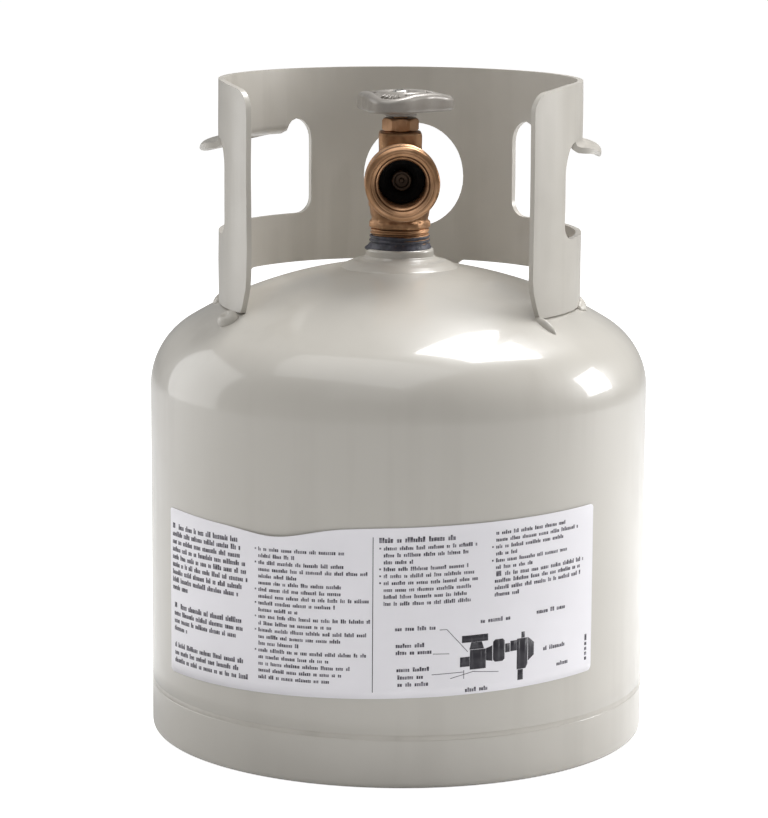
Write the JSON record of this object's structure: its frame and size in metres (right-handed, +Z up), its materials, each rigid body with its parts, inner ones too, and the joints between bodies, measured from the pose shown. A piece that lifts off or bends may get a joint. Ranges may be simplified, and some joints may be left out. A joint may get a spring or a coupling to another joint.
{
  "type": "propane tank",
  "caption": "Small upright steel gas cylinder with a bent plate guard collar, hand slots, and a brass valve with a rounded triangular handwheel and a front outlet.",
  "frame": {"origin": "centre of the foot ring's bottom face, on the surface that the tank stands on", "axes": "+Z up along the tank's axis, -Y the way the valve outlet points, +X to the right as seen from the outlet's side"},
  "size_m": [0.2262, 0.2264, 0.2973],
  "materials": {
    "grey_paint": "glossy warm grey powder coat over steel",
    "bare_steel": "bare mild steel",
    "brass": "forged and machined brass, a little tarnished",
    "sealant": "dark blue-black cured thread sealant",
    "cast_grey": "satin grey die casting",
    "zinc_steel": "bright zinc plate",
    "black_rubber": "matt black seal",
    "white_nylon": "natural nylon",
    "black_plastic": "moulded black acetal",
    "label_paper": "satin printed film"
  },
  "bodies": {
    "cylinder": {"upper_shell": "grey_paint", "bottom_head": "bare_steel", "foot_ring": "grey_paint", "foot_ring_weld": "grey_paint", "coupling": "grey_paint", "coupling_weld": "grey_paint", "collar": "grey_paint", "collar_weld_left_front": "grey_paint", "collar_weld_right_front": "grey_paint", "collar_weld_left_side": "grey_paint", "collar_weld_right_side": "grey_paint", "collar_weld_back": "grey_paint", "label": "label_paper", "valve_body": "brass", "thread_sealant": "sealant", "bonnet_nut": "brass", "stem_o_ring": "black_rubber", "stem_thrust_washer": "white_nylon", "outlet_seat": "black_rubber", "outlet_spring": "zinc_steel", "relief_nut": "brass", "relief_spring": "zinc_steel", "dip_tube": "brass", "opd_housing": "black_plastic", "opd_spring": "zinc_steel", "float_pin": "zinc_steel"},
    "handwheel_group": {"handwheel": "cast_grey", "handwheel_washer": "zinc_steel", "handwheel_screw": "zinc_steel", "upper_stem": "brass"},
    "seat": {"seat_disc": "black_rubber"},
    "stem": {"lower_stem": "brass"},
    "outlet_check": {"outlet_poppet": "brass"},
    "relief": {"relief_poppet": "brass"},
    "bleeder_slide": {"bleeder_gasket": "white_nylon"},
    "bleeder": {"bleeder_screw": "brass"},
    "float_group": {"float_arm": "black_plastic", "float": "white_nylon"},
    "piston": {"opd_piston": "white_nylon"}
  },
  "joints": [
    {"name": "handwheel_turn", "type": "hinge", "parent": "cylinder", "child": "handwheel_group", "pos_m": [0, 0, 0.283], "axis": [0, 0, 1], "range_deg": [0, 660]},
    {"name": "seat_lift", "type": "slide", "parent": "cylinder", "child": "seat", "axis": [0, 0, 1], "range_m": [0, 0.003]},
    {"name": "stem_turn", "type": "hinge", "parent": "seat", "child": "stem", "pos_m": [0, 0, 0.2385], "axis": [0, 0, 1], "range_deg": [0, 660]},
    {"name": "outlet_check_push", "type": "slide", "parent": "cylinder", "child": "outlet_check", "axis": [0, 1, 0], "range_m": [0, 0.003], "stiffness_N_per_m": 600, "springref_m": -0.002, "deforming": ["outlet_spring"]},
    {"name": "relief_lift", "type": "slide", "parent": "cylinder", "child": "relief", "axis": [0, 1, 0], "range_m": [0, 0.002], "stiffness_N_per_m": 2500, "springref_m": -0.004, "deforming": ["relief_spring"]},
    {"name": "bleeder_travel", "type": "slide", "parent": "cylinder", "child": "bleeder_slide", "axis": [-1, 0, 0], "range_m": [0, 0.000875]},
    {"name": "bleeder_turn", "type": "hinge", "parent": "bleeder_slide", "child": "bleeder", "pos_m": [-0.0112, 0, 0.243], "axis": [-1, 0, 0], "range_deg": [0, 450]},
    {"name": "float_swing", "type": "hinge", "parent": "cylinder", "child": "float_group", "pos_m": [0, 0, 0.161], "axis": [1, 0, 0], "range_deg": [0, 75]},
    {"name": "piston_lift", "type": "slide", "parent": "cylinder", "child": "piston", "axis": [0, 0, 1], "range_m": [0, 0.0031], "deforming": ["opd_spring"]}
  ],
  "couplings": [
    {"joint": "seat_lift", "follows": "handwheel_turn", "m_per_rad": 0.00025465},
    {"joint": "stem_turn", "follows": "handwheel_turn", "ratio": 1},
    {"joint": "bleeder_turn", "follows": "bleeder_travel", "rad_per_m": 8976},
    {"joint": "piston_lift", "follows": "float_swing", "m_per_rad": 0.0022918}
  ]
}
